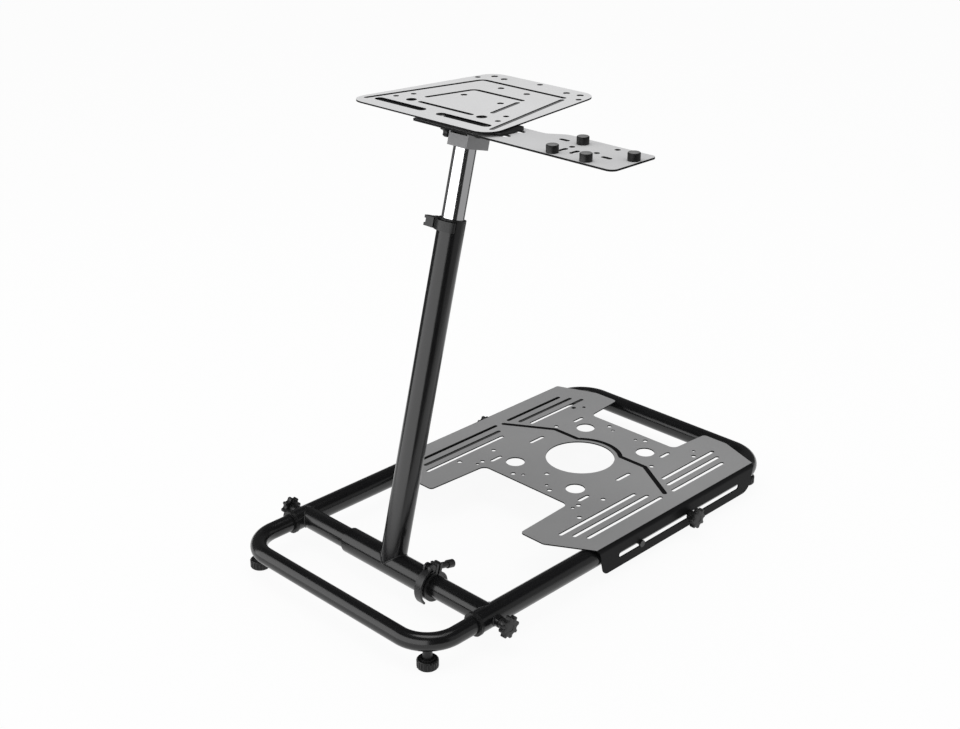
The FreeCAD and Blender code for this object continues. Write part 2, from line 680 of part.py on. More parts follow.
def build():
    parts = {}
    names = {-1: "left", 1: "right"}
    diagonal = corner_r * (1 - math.sqrt(0.5))
    leg_start = front_y + corner_r
    bend_start = rear_y - corner_r
    for side, name in names.items():
        rear_solid = corner(side, bend_start, 1, side_r, 0)
        front_solid = corner(side, leg_start, -1, leg_r, 0)
        foot_x = side * (half_track - diagonal)
        parts["side_tube_" + name] = side_tube(side)
        parts["rear_bend_" + name] = corner(side, bend_start, 1, side_r, side_wall)
        parts["end_collar_" + name] = end_collar(side)
        parts["lock_boss_" + name] = lock_boss(side)
        parts["guide_pin_" + name] = guide_pin(side)
        parts["rear_foot_" + name] = foot(side, foot_x, rear_y - diagonal, rear_solid)
        parts["front_bend_" + name] = corner(side, leg_start, -1, leg_r, leg_wall)
        parts["front_leg_" + name] = tube(V(side * half_track, leg_start, axle_z), Y,
                                          leg_end_y - leg_start, leg_r, leg_wall)
        parts["front_foot_" + name] = foot(side, foot_x, front_y + diagonal, front_solid)
        parts["lock_knob_" + name] = lock_knob(side)
        parts["pedal_knob_" + name] = pedal_knob(side)
    inner_run = half_track - corner_r
    parts["rear_tube"] = tube(V(-inner_run, rear_y, axle_z), X, 2 * inner_run, side_r, side_wall)
    parts["front_tube"] = tube(V(-inner_run, front_y, axle_z), X, 2 * inner_run, leg_r, leg_wall)
    parts["crossbar"] = crossbar()
    parts["pedal_plate"] = pedal_plate()
    parts["pivot_sleeve"] = pivot_sleeve()
    parts["column_tube"] = column_tube()
    parts["column_bushing"] = column_bushing()
    parts["inner_tube"] = inner_tube()
    fold_nut = ((fold_nut_seat_r, 3.0), (bolt_r + 2.0, fold_nut_neck), (fold_nut_r, fold_nut_len))
    height_nut = ((height_nut_r, height_nut_len),)
    parts["fold_clamp"] = place_fold_clamp(clamp_ring(fold_bolt_out))
    parts["fold_clamp_bolt"] = place_fold_clamp(clamp_bolt(fold_bolt_out, fold_nut))
    parts["fold_lever"] = place_fold_clamp(clamp_lever(fold_bolt_out))
    parts["height_clamp"] = place_height_clamp(clamp_ring(bolt_out))
    parts["height_clamp_bolt"] = place_height_clamp(clamp_bolt(bolt_out, height_nut))
    parts["height_lever"] = place_height_clamp(clamp_lever(bolt_out))
    parts["column_head"] = column_head()
    parts["tilt_bolt"] = tilt_bolt()
    hinge = hinge_point()
    knob = star_knob(tilt_knob_r, 0, hinge_bolt_r + plug_clear)
    parts["tilt_knob"] = on_side(knob, -1, head_half_w + slide_clear, hinge.y, hinge.z)
    parts["tilt_bracket"] = tilt_bracket()
    parts["wheel_plate"] = wheel_plate()
    parts["shifter_screws"] = shifter_screws()
    parts["shifter_plate"] = shifter_plate()
    parts["rubber_posts"] = rubber_posts()
    return parts


os.makedirs("parts", exist_ok=True)
for node, shape in build().items():
    placed = shape.copy()
    placed.translate(origin * -1)
    placed.exportStep("parts/" + node + ".step")
    box = placed.BoundBox
    print(node, placed.isValid(), len(placed.Solids), round(placed.Volume / 1000, 1), "cm3",
          [round(v, 1) for v in (box.XMin, box.XMax, box.YMin, box.YMax, box.ZMin, box.ZMax)])
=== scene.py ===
import json
import math

import bmesh
import bpy
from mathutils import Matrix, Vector


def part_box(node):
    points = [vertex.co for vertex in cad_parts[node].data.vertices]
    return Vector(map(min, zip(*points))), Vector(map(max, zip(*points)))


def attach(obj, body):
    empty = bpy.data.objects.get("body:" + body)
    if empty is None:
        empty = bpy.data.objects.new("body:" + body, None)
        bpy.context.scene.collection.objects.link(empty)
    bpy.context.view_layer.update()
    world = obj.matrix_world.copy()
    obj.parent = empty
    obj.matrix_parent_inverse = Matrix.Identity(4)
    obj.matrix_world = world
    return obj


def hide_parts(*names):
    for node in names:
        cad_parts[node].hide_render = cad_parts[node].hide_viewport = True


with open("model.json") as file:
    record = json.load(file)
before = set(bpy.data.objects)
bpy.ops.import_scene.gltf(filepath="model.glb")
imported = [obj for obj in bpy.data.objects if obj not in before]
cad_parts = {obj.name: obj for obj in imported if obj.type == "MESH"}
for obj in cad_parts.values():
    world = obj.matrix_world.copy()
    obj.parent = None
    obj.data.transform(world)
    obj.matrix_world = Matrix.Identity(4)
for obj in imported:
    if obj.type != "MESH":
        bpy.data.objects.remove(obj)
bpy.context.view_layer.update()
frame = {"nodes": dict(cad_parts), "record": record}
nodes = frame["nodes"]
record = frame["record"]

# The photograph: its width in pixels, the camera's focal length in those pixels, and its angles
photo_width = 960
focal_px = 1480.87
sensor_mm = 36.0
azimuth_deg = 44.563
elevation_deg = 23.938
camera_place = Vector((1.5896, -1.7651, 1.3915))

# Drawing places in millimetres, as in the part's source, and the frame's origin in them
origin_x = 54.6
origin_y = 310.625
half_track = 232.5
axle_z = 46.5
side_r = 19.0
crossbar_r = 19.0
boss_r = 10.0
column_r = 23.0
lean = math.radians(14.54)
wheel_top = 816.3
pedal_top = 68.8
groove_deep = 1.4
shifter_slot_y = (106.6, 138.4)

X, Y, Z = Vector((1, 0, 0)), Vector((0, 1, 0)), Vector((0, 0, 1))
sides = (-1, 1)


def at(x, y, z):
    return Vector((x - origin_x, y - origin_y, z)) / 1000


def on_column(x, y, s):
    """A place beside the column: x and y across it, s along it from the crossbar axis."""
    return at(x, y * math.cos(lean) + s * math.sin(lean), axle_z - y * math.sin(lean) + s * math.cos(lean))


column_up = Vector((0, math.sin(lean), math.cos(lean)))


def top_of(node):
    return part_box(node)[1][2]


# Materials
def material(name):
    """A new node material with its Principled shader."""
    mat = bpy.data.materials.new(name)
    mat.use_nodes = True
    tree = mat.node_tree
    tree.nodes.clear()
    output = tree.nodes.new("ShaderNodeOutputMaterial")
    shader = tree.nodes.new("ShaderNodeBsdfPrincipled")
    tree.links.new(shader.outputs["BSDF"], output.inputs["Surface"])
    return mat, tree, shader


def noise(tree, scale, detail=3.0, rough=0.5, stretch=(1, 1, 1)):
    """Cloudy pattern in the object's own metres."""
    coords = tree.nodes.new("ShaderNodeTexCoord")
    mapping = tree.nodes.new("ShaderNodeMapping")
    mapping.inputs["Scale"].default_value = stretch
    tree.links.new(coords.outputs["Object"], mapping.inputs["Vector"])
    tex = tree.nodes.new("ShaderNodeTexNoise")
    tex.inputs["Scale"].default_value = scale
    tex.inputs["Detail"].default_value = detail
    tex.inputs["Roughness"].default_value = rough
    tree.links.new(mapping.outputs["Vector"], tex.inputs["Vector"])
    return tex.outputs["Fac"]


def ramp(tree, value, start, end, low=0.0, high=1.0):
    """Low up to start, high from end on, and a straight run between."""
    node = tree.nodes.new("ShaderNodeMapRange")
    node.inputs["From Min"].default_value = start
    node.inputs["From Max"].default_value = end
    node.inputs["To Min"].default_value = low
    node.inputs["To Max"].default_value = high
    tree.links.new(value, node.inputs["Value"])
    return node.outputs["Result"]


def spread(tree, pattern, low=0.0, high=1.0):
    """Noise keeps near its middle, so that part of it is stretched from low to high."""
    return ramp(tree, pattern, 0.3, 0.7, low, high)


def maths(tree, operation, a, b):
    node = tree.nodes.new("ShaderNodeMath")
    node.operation = operation
    for socket, value in zip(node.inputs, (a, b)):
        if isinstance(value, (int, float)):
            socket.default_value = value
        else:
            tree.links.new(value, socket)
    return node.outputs[0]


def mix_colour(tree, value, a, b):
    """Colour a where value is 0 and b where it is 1. Each is a colour or a socket."""
    node = tree.nodes.new("ShaderNodeMix")
    node.data_type = "RGBA"
    for socket, colour in ((node.inputs["A"], a), (node.inputs["B"], b)):
        if isinstance(colour, tuple):
            socket.default_value = (*colour, 1)
        else:
            tree.links.new(colour, socket)
    tree.links.new(value, node.inputs["Factor"])
    return node.outputs["Result"]


def bump(tree, shader, value, distance):
    node = tree.nodes.new("ShaderNodeBump")
    node.inputs["Distance"].default_value = distance
    node.inputs["Strength"].default_value = 1.0
    tree.links.new(value, node.inputs["Height"])
    tree.links.new(node.outputs["Normal"], shader.inputs["Normal"])


def vary_roughness(tree, shader, patches, rough, share):
    """Roughness that differs by up to the share from patch to patch."""
    value = spread(tree, patches, rough * (1 - share), rough * (1 + share))
    tree.links.new(value, shader.inputs["Roughness"])


def coated(name, dark, light, rough, grain, grain_depth, specular=0.5, metallic=0.0, stretch=(1, 1, 1)):
    """Paint, plastic, rubber or metal: colour and roughness vary a little, over a fine grain."""
    mat, tree, shader = material(name)
    patches = noise(tree, 9.0)
    fine = noise(tree, grain, 2.0, 0.6, stretch)
    tree.links.new(mix_colour(tree, spread(tree, patches), dark, light), shader.inputs["Base Color"])
    vary_roughness(tree, shader, patches, rough, 0.12)
    shader.inputs["Metallic"].default_value = metallic
    shader.inputs["Specular IOR Level"].default_value = specular
    bump(tree, shader, fine, grain_depth)
    return mat


def faces_up(tree, low=0.90, high=0.97):
    """1 where the surface faces up, from the upward share of its normal."""
    coords = tree.nodes.new("ShaderNodeTexCoord")
    split = tree.nodes.new("ShaderNodeSeparateXYZ")
    tree.links.new(coords.outputs["Normal"], split.inputs["Vector"])
    return ramp(tree, split.outputs["Z"], low, high)


def band(tree, value, start, end, edge):
    """1 between start and end, with an edge of the given width inside each."""
    return maths(tree, "MULTIPLY", ramp(tree, value, start, start + edge), ramp(tree, value, end, end - edge))


def plate_coat(name, node, top_dark, top_light, rough, lit_groove=None):
    """Plate coat: glossy black, with its top faces painted pale as a painted reflection of the bright studio;
    grooves, cut edges, folds and underside stay black.
    lit_groove is (outer X, inner X, front Y, rear Y) in drawing millimetres. Groove floors get painted light,
    a grey past the outer X, and past the inner X between the two Y."""
    mat, tree, shader = material(name)
    coords = tree.nodes.new("ShaderNodeTexCoord")
    place = tree.nodes.new("ShaderNodeSeparateXYZ")
    tree.links.new(coords.outputs["Object"], place.inputs["Vector"])
    top = top_of(node)
    up = faces_up(tree, 0.94, 0.985)
    near_top = ramp(tree, place.outputs["Z"], top - 2 * top_skin, top - top_skin)
    surface = maths(tree, "MULTIPLY", up, near_top)
    patches = noise(tree, 4.0)
    speckle = noise(tree, 260.0, 4.0, 0.7)
    shade = maths(tree, "ADD", spread(tree, patches, 0, 0.8), spread(tree, speckle, 0, 0.2))
    # pale is painted reflection: the studio mirrored in the glossy black top, put in as colour
    pale = mix_colour(tree, shade, top_dark, top_light)
    black = mix_colour(tree, spread(tree, patches), edge_black, edge_black_light)
    # Painted light: the floors of the right-hand grooves are grey, as if lit, while the rest stay black
    if lit_groove:
        outer, inner, front, rear = lit_groove
        past = ramp(tree, place.outputs["X"], at(outer, 0, 0).x, at(outer + 0.5, 0, 0).x)
        beside = ramp(tree, place.outputs["X"], at(inner, 0, 0).x, at(inner + 0.5, 0, 0).x)
        between = band(tree, place.outputs["Y"], at(0, front, 0).y, at(0, rear, 0).y, 0.001)
        grey = maths(tree, "MAXIMUM", past, maths(tree, "MULTIPLY", beside, between))
        floor_z = top - groove_deep / 1000
        floor = ramp(tree, place.outputs["Z"], floor_z - top_skin, floor_z - top_skin / 3)
        grey = maths(tree, "MULTIPLY", grey, maths(tree, "MULTIPLY", floor, faces_up(tree)))
        black = mix_colour(tree, grey, black, groove_painted_light_grey)
    tree.links.new(mix_colour(tree, surface, black, pale), shader.inputs["Base Color"])
    vary_roughness(tree, shader, patches, rough, 0.1)
    tree.links.new(ramp(tree, surface, 0, 1, 0.06, 0.35), shader.inputs["Specular IOR Level"])
    bump(tree, shader, noise(tree, 900.0, 2.0, 0.6), 0.00003)
    return mat


def capped(name, side, top, rough):
    """Black moulding whose flat top is a lighter grey."""
    mat, tree, shader = material(name)
    patches = noise(tree, 30.0)
    top_grey = mix_colour(tree, spread(tree, patches), top, tuple(c * 1.15 for c in top))
    tree.links.new(mix_colour(tree, faces_up(tree, 0.8, 0.99), side, top_grey), shader.inputs["Base Color"])
    vary_roughness(tree, shader, patches, rough, 0.1)
    shader.inputs["Specular IOR Level"].default_value = 0.4
    bump(tree, shader, noise(tree, 1100.0, 2.0, 0.6), 0.00006)
    return mat


# Finishes. top_skin, in metres, is how far below a plate's top its painted reflection fades out
top_skin = 0.0003
edge_black = (0.007, 0.007, 0.0075)
edge_black_light = (0.010, 0.010, 0.0105)
# groove_painted_light_grey is painted light on the right-hand groove floors
groove_painted_light_grey = (0.17, 0.17, 0.172)
gloss_black = coated("gloss_black_paint", (0.006, 0.006, 0.0065), (0.009, 0.009, 0.0095),
                     rough=0.20, grain=700.0, grain_depth=0.00002)
cast_black = coated("cast_black_coat", (0.010, 0.010, 0.0105), (0.015, 0.015, 0.0155),
                    rough=0.33, grain=900.0, grain_depth=0.00005)
plastic_black = coated("moulded_black", (0.006, 0.006, 0.0063), (0.009, 0.009, 0.0093),
                       rough=0.42, grain=1400.0, grain_depth=0.00006, specular=0.4)
rubber_black = capped("matt_black_rubber", (0.008, 0.008, 0.008), (0.20, 0.20, 0.20), rough=0.45)
sole_rubber = coated("sole_rubber", (0.010, 0.010, 0.010), (0.018, 0.018, 0.018),
                     rough=0.75, grain=1100.0, grain_depth=0.0001, specular=0.3)
chrome = coated("polished_chrome", (0.72, 0.72, 0.73), (0.77, 0.77, 0.78),
                rough=0.11, grain=500.0, grain_depth=0.000005, metallic=1.0)
satin_steel = coated("satin_steel", (0.24, 0.24, 0.245), (0.29, 0.29, 0.295),
                     rough=0.36, grain=1200.0, grain_depth=0.00003, metallic=0.35, stretch=(1, 1, 6))
screw_metal = coated("screw_steel", (0.30, 0.30, 0.30), (0.40, 0.40, 0.40),
                     rough=0.30, grain=900.0, grain_depth=0.00003, metallic=0.9)
dark_metal = coated("blackened_steel", (0.05, 0.05, 0.05), (0.08, 0.08, 0.08),
                    rough=0.35, grain=900.0, grain_depth=0.00004, metallic=1.0)
# The plates' pale tops are painted reflection, each as light as its plate mirrors the studio
wheel_black_painted_reflection = plate_coat("wheel_plate_black_painted_reflection", "wheel_plate", (0.74, 0.74, 0.745), (0.78, 0.78, 0.785),
                        rough=0.4, lit_groove=(92.3, 54.4, 160.0, 247.0))
shifter_black_painted_reflection = plate_coat("shifter_plate_black_painted_reflection", "shifter_plate", (0.62, 0.62, 0.625), (0.67, 0.67, 0.675),
                          rough=0.4)
pedal_black_painted_reflection = plate_coat("pedal_plate_black_painted_reflection", "pedal_plate", (0.270, 0.270, 0.272), (0.305, 0.305, 0.307),
                        rough=0.42)

slot_materials = {
    "black_paint": gloss_black,
    "black_cast": cast_black,
    "black_plastic": plastic_black,
    "black_rubber": rubber_black,
    "chrome": chrome,
    "bare_steel": satin_steel,
    "dark_steel": dark_metal,
    "wheel_plate_coat": wheel_black_painted_reflection,
    "shifter_plate_coat": shifter_black_painted_reflection,
    "pedal_plate_coat": pedal_black_painted_reflection,
}
for part in record["subparts"]:
    mesh = nodes[part["node"]].data
    mesh.materials.clear()
    mesh.materials.append(slot_materials[part["material_slot"]])


# Small pieces
def finish_piece(name, mesh, mat, body, smooth_deg=40):
    """Links a mesh as a piece, smooth up to the given angle, that rides on the body."""
    piece = bpy.data.objects.new(name, mesh)
    bpy.context.scene.collection.objects.link(piece)
    mesh.materials.append(mat)
    mesh.shade_smooth()
    mesh.set_sharp_from_angle(angle=math.radians(smooth_deg))
    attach(piece, body)
    return piece


def hexagon(flat, angle):
    """Radius of a hexagon with the given half width across flats, at that angle."""
    return flat / math.cos((angle + math.pi / 6) % (math.pi / 3) - math.pi / 6)


def turned(name, places, profile, mat, body):
    """Pieces with the same profile at (centre, axis) places. The profile runs from the axis on
    one side to the axis on the other as (radius, height), with a third value for a hexagon."""
    steps = 48
    bm = bmesh.new()
    for centre, axis in places:
        turn = axis.to_track_quat("Z", "Y").to_matrix()
        rings = []
        for point in profile:
            radius, height = point[0] / 1000, point[1] / 1000
            if radius == 0:
                rings.append([bm.verts.new(centre + turn @ Vector((0, 0, height)))])
                continue
            ring = []
            for i in range(steps):
                angle = 2 * math.pi * i / steps
                r = hexagon(radius, angle) if len(point) > 2 else radius
                place = Vector((r * math.cos(angle), r * math.sin(angle), height))
                ring.append(bm.verts.new(centre + turn @ place))
            rings.append(ring)
        for low, high in zip(rings, rings[1:]):
            for i in range(steps):
                j = (i + 1) % steps
                a, b = low[i % len(low)], low[j % len(low)]
                c, d = high[j % len(high)], high[i % len(high)]
                corners = [a]
                for vert in (b, c, d):
                    if vert not in corners:
                        corners.append(vert)
                if len(corners) > 2:
                    bm.faces.new(corners)
    bmesh.ops.recalc_face_normals(bm, faces=bm.faces)
    mesh = bpy.data.meshes.new(name)
    bm.to_mesh(mesh)
    bm.free()
    return finish_piece(name, mesh, mat, body)


def bead(name, loops, body):
    """A rippled weld bead along each closed loop of places."""
    curve = bpy.data.curves.new(name, "CURVE")
    curve.dimensions = "3D"
    curve.bevel_depth = weld_r
    curve.bevel_resolution = 2
    for loop in loops:
        spline = curve.splines.new("POLY")
        spline.points.add(len(loop) - 1)
        for i, (point, place) in enumerate(zip(spline.points, loop)):
            point.co = (*place, 1)
            point.radius = 1 + weld_ripple * math.sin(i / weld_wave)
        spline.use_cyclic_u = True
    piece = bpy.data.objects.new(name, curve)
    bpy.context.scene.collection.objects.link(piece)
    curve.materials.append(gloss_black)
    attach(piece, body)


def saddle(centre, axis, across, r, radius):
    """Where a tube of radius r along axis meets a round tube of the given radius that runs
    along across and passes through the centre."""
    third = axis.cross(across)
    steps = 96
    loop = []
    for i in range(steps):
        angle = 2 * math.pi * i / steps
        side = r * math.sin(angle)
        height = math.sqrt(max(radius * radius - side * side, 0))
        loop.append(centre + (across * r * math.cos(angle) + third * side + axis * height) / 1000)
    return loop


# Welds: crossbar to side tubes, knob bosses to side tubes, column to sleeve
weld_r = 0.0014
weld_ripple = 0.16
weld_wave = 0.55
bead("crossbar_welds", [saddle(at(side * half_track, 0, axle_z), X * -side, Y, crossbar_r, side_r)
                        for side in sides], "base_frame")
bead("boss_welds", [saddle(at(side * half_track, 0, axle_z), X * side, Y, boss_r, side_r)
                    for side in sides], "base_frame")
bead("column_weld", [saddle(at(0, 0, axle_z), column_up, X, column_r, column_r)], "column")

# Feet: a rubber sole under each
sole_profile = [(0, 0), (15.8, 0), (16.6, 0.5), (16.8, 1.6), (0, 1.6)]
for body, end in (("base_frame", "rear"), ("front_frame", "front")):
    places = []
    for side_name in ("left", "right"):
        low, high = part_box(end + "_foot_" + side_name)
        places.append((Vector(((low[0] + high[0]) / 2, (low[1] + high[1]) / 2, 0)), Z))
    turned(body + "_soles", places, sole_profile, sole_rubber, body)

# Shifter screws: nut, shank and a low head with a hexagon socket
screw_z = wheel_top - 2.8
screw_places = [(x, shifter_slot_y[0]) for x in (24.0, 118.0)] + [(79.0, shifter_slot_y[1])]
screw_nut = [(0, -14.7), (7.5, -14.7), (8.5, -14.1), (8.5, -8.5), (4.0, -8.5), (4.0, 0)]
screw_head = [(5.5, 0), (5.5, 0.9), (4.4, 1.6), (3.1, 1.8), (2.5, 1.8, 6), (2.4, 0.5, 6), (0, 0.4)]
screws = turned("shifter_screw_set", [(at(x, y, screw_z), Z) for x, y in screw_places],
                screw_nut + screw_head, screw_metal, "wheel_deck")
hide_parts("shifter_screws")


# Flat outlines, in drawing millimetres
def rounded(points, radius, closed=True):
    """Line through the points with each corner rounded. A point may hold its own radius."""
    steps = 8
    line = []
    count = len(points)
    for i, point in enumerate(points):
        here = Vector(point[:2])
        if not closed and i in (0, count - 1):
            line.append(here)
            continue
        into = (Vector(points[i - 1][:2]) - here).normalized()
        away = (Vector(points[(i + 1) % count][:2]) - here).normalized()
        half = into.angle(away) / 2
        r = point[2] if len(point) > 2 else radius
        centre = here + (into + away).normalized() * (r / math.sin(half))
        start = here + into * (r / math.tan(half)) - centre
        end = here + away * (r / math.tan(half)) - centre
        first = math.atan2(start.y, start.x)
        turn = math.remainder(math.atan2(end.y, end.x) - first, 2 * math.pi)
        for k in range(steps + 1):
            angle = first + turn * k / steps
            line.append(centre + Vector((math.cos(angle), math.sin(angle))) * r)
    return line


def arc(centre, r, start_deg, end_deg, steps=24):
    angles = [math.radians(start_deg + (end_deg - start_deg) * k / steps) for k in range(steps + 1)]
    return [Vector((centre[0] + r * math.cos(a), centre[1] + r * math.sin(a))) for a in angles]


def circle(x, y, r, steps=36):
    return arc((x, y), r, 0, 360, steps)[:-1]


def ribbon(line, width):
    """Closed outline of the given width along an open line, with round ends."""
    cap_steps = 8
    left, right = [], []
    for i, place in enumerate(line):
        along = (line[min(i + 1, len(line) - 1)] - line[max(i - 1, 0)]).normalized()
        across = Vector((-along.y, along.x)) * (width / 2)
        left.append(place + across)
        right.append(place - across)
    ends = []
    for place, side in ((line[-1], left[-1]), (line[0], right[0])):
        start = math.degrees(math.atan2(side.y - place.y, side.x - place.x))
        ends.append(arc(place, width / 2, start, start - 180, cap_steps)[1:-1])
    return left + ends[0] + right[::-1] + ends[1]


def stadium(a, b, width):
    """A slot from centre a to centre b."""
    return ribbon([Vector(a), Vector(b)], width)


def both_sides(places):
    return [(side * x, y) for x, y in places for side in sides]


def slot_pair(x, front, rear, width):
    """The same slot along Y on each side."""
    return [stadium((side * x, front), (side * x, rear), width) for side in sides]


def sheet(bm, outline, holes, low, high, place, bends):
    """Adds a flat layer with holes, from low to high, each point moved by place. It is first cut
    along X at each of the bends."""
    curve = bpy.data.curves.new("outline", "CURVE")
    curve.dimensions = "2D"
    curve.fill_mode = "BOTH"
    curve.extrude = (high - low) / 2
    for loop in [outline] + holes:
        spline = curve.splines.new("POLY")
        spline.points.add(len(loop) - 1)
        for point, corner in zip(spline.points, loop):
            point.co = (corner[0], corner[1], 0, 1)
        spline.use_cyclic_u = True
    holder = bpy.data.objects.new("outline", curve)
    bpy.context.scene.collection.objects.link(holder)
    shape = holder.evaluated_get(bpy.context.evaluated_depsgraph_get())
    mesh = bpy.data.meshes.new_from_object(shape)
    layer = bmesh.new()
    layer.from_mesh(mesh)
    bmesh.ops.remove_doubles(layer, verts=layer.verts, dist=0.0005)
    for vert in layer.verts:
        vert.co.z += (low + high) / 2
    for bend in bends:
        for side in sides:
            geometry = layer.verts[:] + layer.edges[:] + layer.faces[:]
            bmesh.ops.bisect_plane(layer, geom=geometry, plane_co=(side * bend, 0, 0), plane_no=(1, 0, 0))
    for vert in layer.verts:
        vert.co = place(*vert.co)
    bmesh.ops.recalc_face_normals(layer, faces=layer.faces)
    layer.to_mesh(mesh)
    layer.free()
    bm.from_mesh(mesh)
    bpy.data.objects.remove(holder)
    bpy.data.curves.remove(curve)
    bpy.data.meshes.remove(mesh)


def layered(name, layers, place, mat, body, stands_for=None, bends=()):
    """A piece from (outline, holes, low, high) layers, in place of the node it stands for."""
    bm = bmesh.new()
    for outline, holes, low, high in layers:
        sheet(bm, outline, holes, low, high, place, bends)
    mesh = bpy.data.meshes.new(name)
    bm.to_mesh(mesh)
    bm.free()
    piece = finish_piece(name, mesh, mat, body, 30)
    if stands_for:
        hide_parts(stands_for)


# Wheel plate: outline, blind grooves, slots and holes
wheel_t = 2.5
wheel_front_y, wheel_rear_y = 72.0, 368.5
wheel_front_half, wheel_rear_half = 159.5, 117.3
wheel_front_r, wheel_rear_r = 28.0, 33.0
wheel_slot_x = (22.0, 120.0)
wheel_slot_w = 16.0
groove_w = 8.4
groove_bend_r = 11.0
plate_low = wheel_top - wheel_t
groove_floor = wheel_top - groove_deep
wheel_outline = rounded([(-wheel_front_half, wheel_front_y), (wheel_front_half, wheel_front_y),
                         (wheel_rear_half, wheel_rear_y, wheel_rear_r),
                         (-wheel_rear_half, wheel_rear_y, wheel_rear_r)], wheel_front_r)
wheel_lines = (
    ((-141.0, 97.2), (-93.2, 317.2), (89.0, 317.2)),
    ((141.0, 97.2), (96.0, 304.5)),
    ((-73.6, 168.3), (-54.3, 257.5), (53.0, 257.5)),
    ((73.6, 168.3), (58.0, 241.0)),
    ((-57.0, 137.8), (57.0, 137.8)),
)
wheel_hole_sets = (
    (8.8, both_sides([(79.0, 138.4)])),
    (4.8, both_sides([(114.3, 137.5), (104.0, 166.6)])),
    (5.6, both_sides([(41.0, 219.5), (29.0, 294.0)])),
    (6.0, both_sides([(70.3, 344.5), (96.5, 348.5)])),
    (5.0, both_sides([(113.6, 325.0)])),
    (5.2, [(0.0, 357.5)]),
)
wheel_holes = []
for side in sides:
    wheel_slot = [(side * x, shifter_slot_y[0]) for x in wheel_slot_x]
    wheel_holes.append(stadium(*wheel_slot, wheel_slot_w))
for radius, places in wheel_hole_sets:
    wheel_holes += [circle(x, y, radius) for x, y in places]
wheel_grooves = [ribbon(rounded(line, groove_bend_r, closed=False), groove_w) for line in wheel_lines]
layered("wheel_plate_sheet", [(wheel_outline, wheel_holes, plate_low, groove_floor),
                              (wheel_outline, wheel_holes + wheel_grooves, groove_floor, wheel_top)],
        at, wheel_black_painted_reflection, "wheel_deck", "wheel_plate")

# Slide pads between the two top plates
shifter_top = wheel_top - 8.0
pad_front_y, pad_back_y = 96.0, 150.0
pad_corner_r = 5.5
pad_low = shifter_top + 0.3
pad_high = plate_low - 0.1
pads = []
for x_low, x_high in ((-130.0, -16.0), (16.0, 160.0)):
    pad = [(x_low, pad_front_y), (x_high, pad_front_y), (x_high, pad_back_y), (x_low, pad_back_y)]
    pads.append((rounded(pad, pad_corner_r), [], pad_low, pad_high))
layered("slide_pads", pads, at, plastic_black, "wheel_deck")

# Shifter plate: a tongue under the wheel plate that widens to the right of it
shifter_t = 3.0
shifter_left, shifter_right = -14.0, 391.0
shifter_front_y, shifter_back_y = 78.0, 177.0
tongue_back_y = 158.0
step_x, step_run = 194.0, 29.0
shifter_slot_x = (-4.0, 163.0)
shifter_slot_w = 12.0
shifter_hole_r = 4.6
short_slot_w = 8.0
shifter_outline = rounded([(shifter_left, shifter_front_y), (shifter_right, shifter_front_y, 12),
                           (shifter_right, shifter_back_y, 8), (step_x + step_run, shifter_back_y, 30),
                           (step_x, tongue_back_y, 20), (shifter_left, tongue_back_y)], 6)
shifter_cuts = [stadium((shifter_slot_x[0], y), (shifter_slot_x[1], y), shifter_slot_w)
                for y in shifter_slot_y]
shifter_cuts += [circle(x, y, shifter_hole_r)
                 for x, y in ((248.0, 121.0), (271.3, 130.0), (318.3, 130.0), (328.7, 164.0))]
for x, y in ((238.6, 150.3), (344.4, 121.0)):
    shifter_cuts.append(stadium((x - 5.5, y), (x + 5.5, y), short_slot_w))
for x, y in ((271.5, 109.5), (292.5, 111.2)):
    shifter_cuts.append(stadium((x, y - 6), (x, y + 6), short_slot_w))
layered("shifter_plate_sheet", [(shifter_outline, shifter_cuts, shifter_top - shifter_t, shifter_top)],
        at, shifter_black_painted_reflection, "shifter_deck", "shifter_plate")

# Rubber posts on the shifter plate
post_places = ((272.0, 153.0), (270.0, 88.5), (333.5, 88.5), (379.5, 138.5))
post_profile = [(0, 0), (9.4, 0), (9.4, 10.8), (9.1, 11.5), (8.3, 12.0), (0, 12.0)]
posts = turned("rubber_post_set", [(at(x, y, shifter_top), Z) for x, y in post_places], post_profile,
               rubber_black, "shifter_deck")
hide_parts("rubber_posts")

# Pedal plate: drawn flat, then bent down over each side tube
# The bend's own line runs at mid thickness: fold_from is where it starts across the flat sheet
pedal_t = 2.4
pedal_half = 255.0
fold_r = 8.0
fold_steps = 8
fold_beside = 0.4
fold_mid = fold_r - pedal_t / 2
fold_from = pedal_half - fold_r
fold_run = fold_mid * math.pi / 2
fold_lines = [fold_from - fold_beside]
fold_lines += [fold_from + fold_run * k / fold_steps for k in range(fold_steps + 1)]
fold_lines.append(fold_from + fold_run + fold_beside)


def folded(x, y, z):
    """From the flat sheet to the folded one."""
    side = math.copysign(1, x)
    past = abs(x) - fold_from
    out = z - (pedal_top - pedal_t / 2)
    if past <= 0:
        return at(x, y, z)
    if past < fold_run:
        angle = past / fold_mid
        return at(side * (fold_from + (fold_mid + out) * math.sin(angle)), y,
                  pedal_top - fold_r + (fold_mid + out) * math.cos(angle))
    return at(side * (fold_from + fold_mid + out), y, pedal_top - fold_r - (past - fold_run))


def flat_at(z):
    """Distance across the flat sheet of a flange point at the given height."""
    return fold_from + fold_run + pedal_top - fold_r - z


